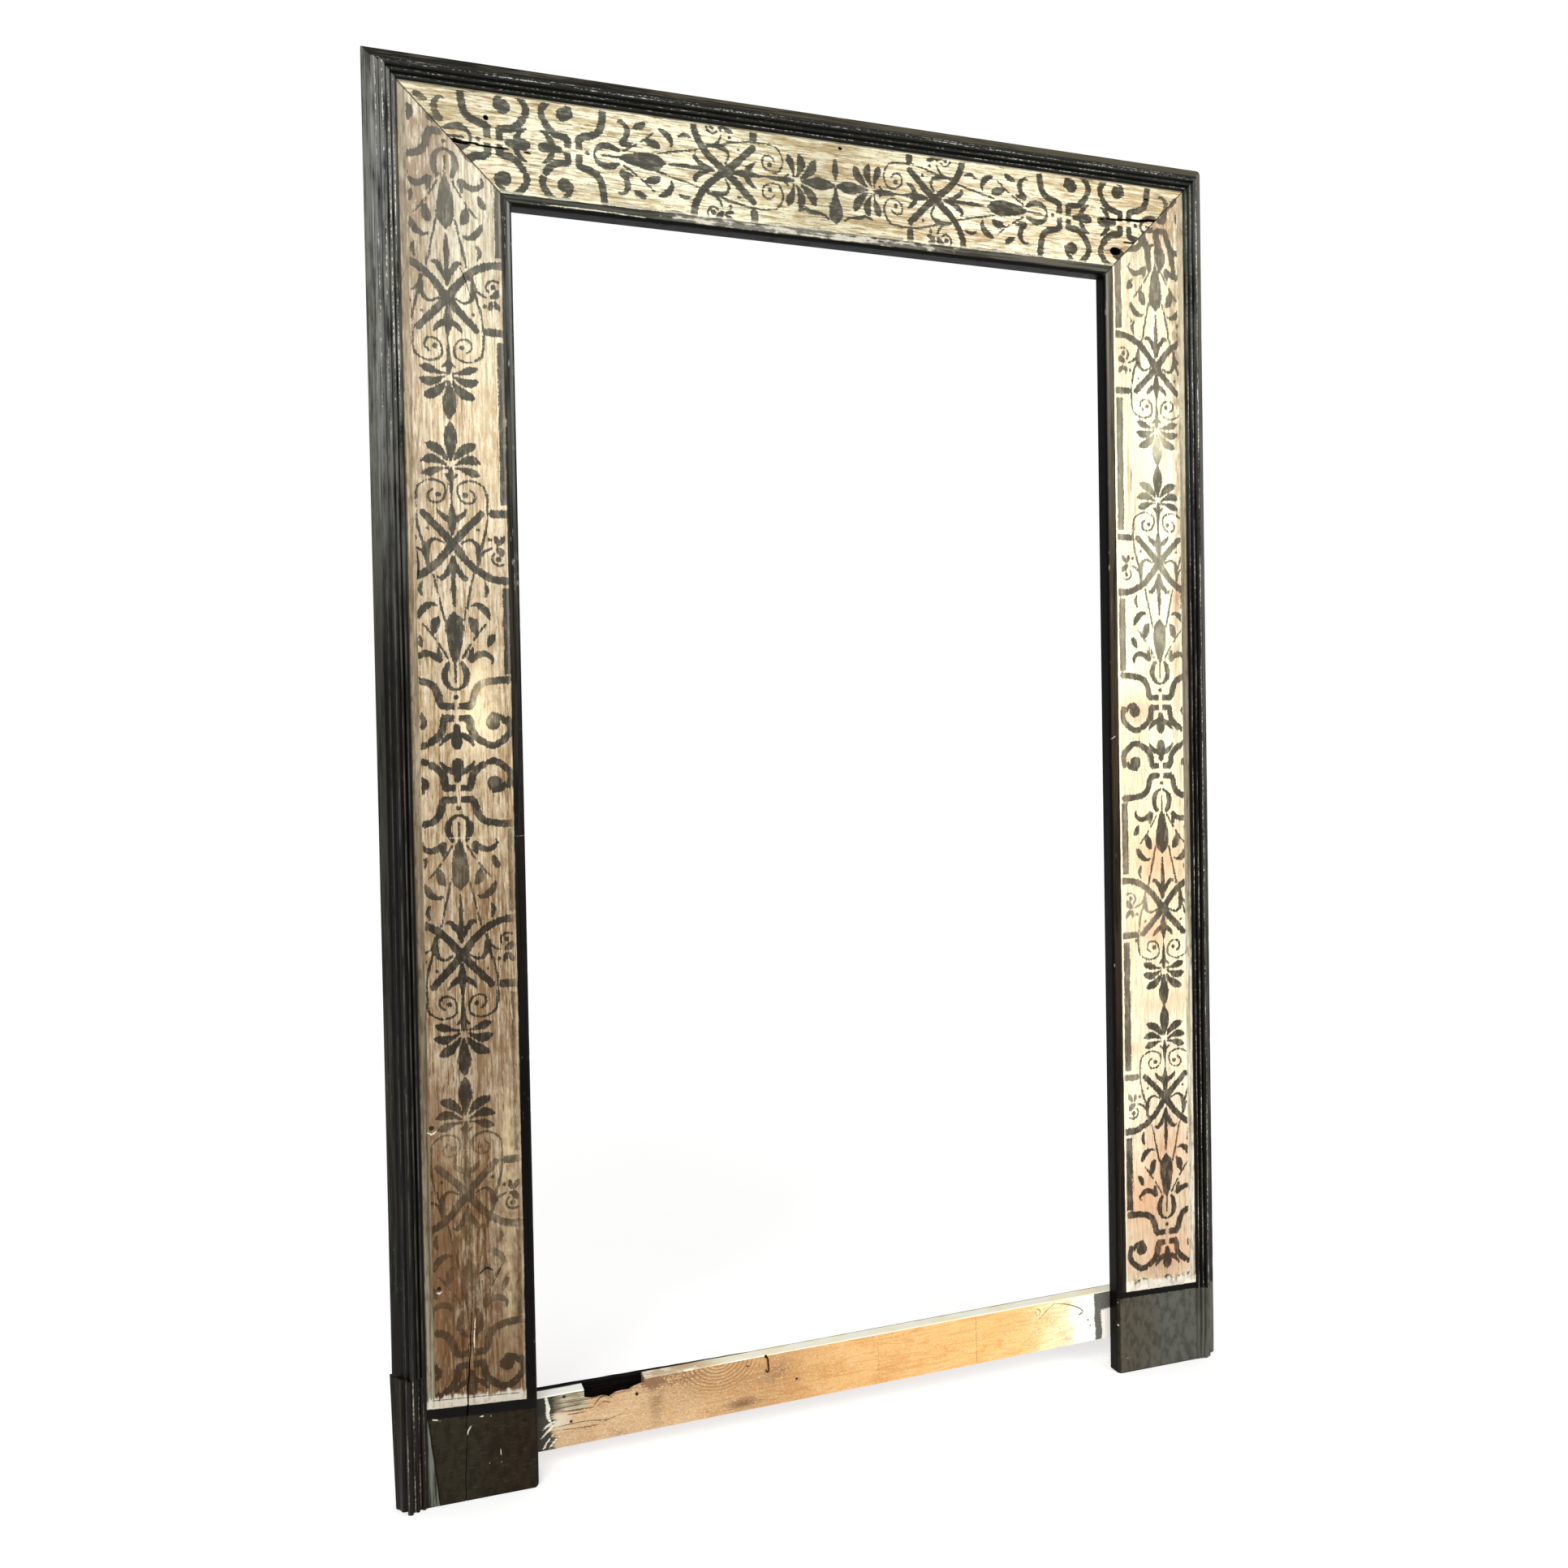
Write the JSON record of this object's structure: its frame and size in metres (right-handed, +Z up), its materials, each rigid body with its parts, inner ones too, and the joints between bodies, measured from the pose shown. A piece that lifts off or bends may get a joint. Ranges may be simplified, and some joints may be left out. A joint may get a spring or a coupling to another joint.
{
  "type": "door surround",
  "caption": "Painted wooden door surround: mitred boards with stencilled strapwork, a stepped black outer moulding and a pine spreader across the feet.",
  "frame": {"origin": "middle of the head board's back face, which lies against the wall", "axes": "+Z up, the painted faces look along -Y, +Y points into the wall, +X to the right seen from the front"},
  "size_m": [1.5561, 0.0816, 2.3083],
  "materials": {
    "stencilled_jamb_left": "worn tan paint with slate-grey stencilled strapwork, black border and dark grey foot",
    "stencilled_jamb_right": "worn cream paint with slate-grey stencilled strapwork, black border and dark grey foot",
    "stencilled_head": "worn cream-yellow paint with slate-grey stencilled strapwork and black border",
    "black_moulding": "old glossy black paint, worn grey on its outer band",
    "raw_pine": "raw sawn pine with paint marks at its ends",
    "dark_strip": "dark stained softwood"
  },
  "bodies": {
    "root": {"jamb_board_left": "stencilled_jamb_left", "jamb_board_right": "stencilled_jamb_right", "head_board": "stencilled_head", "moulding_left": "black_moulding", "moulding_left_foot": "black_moulding", "moulding_right": "black_moulding", "moulding_head": "black_moulding", "spreader": "raw_pine", "spreader_strip": "dark_strip"}
  },
  "joints": []
}
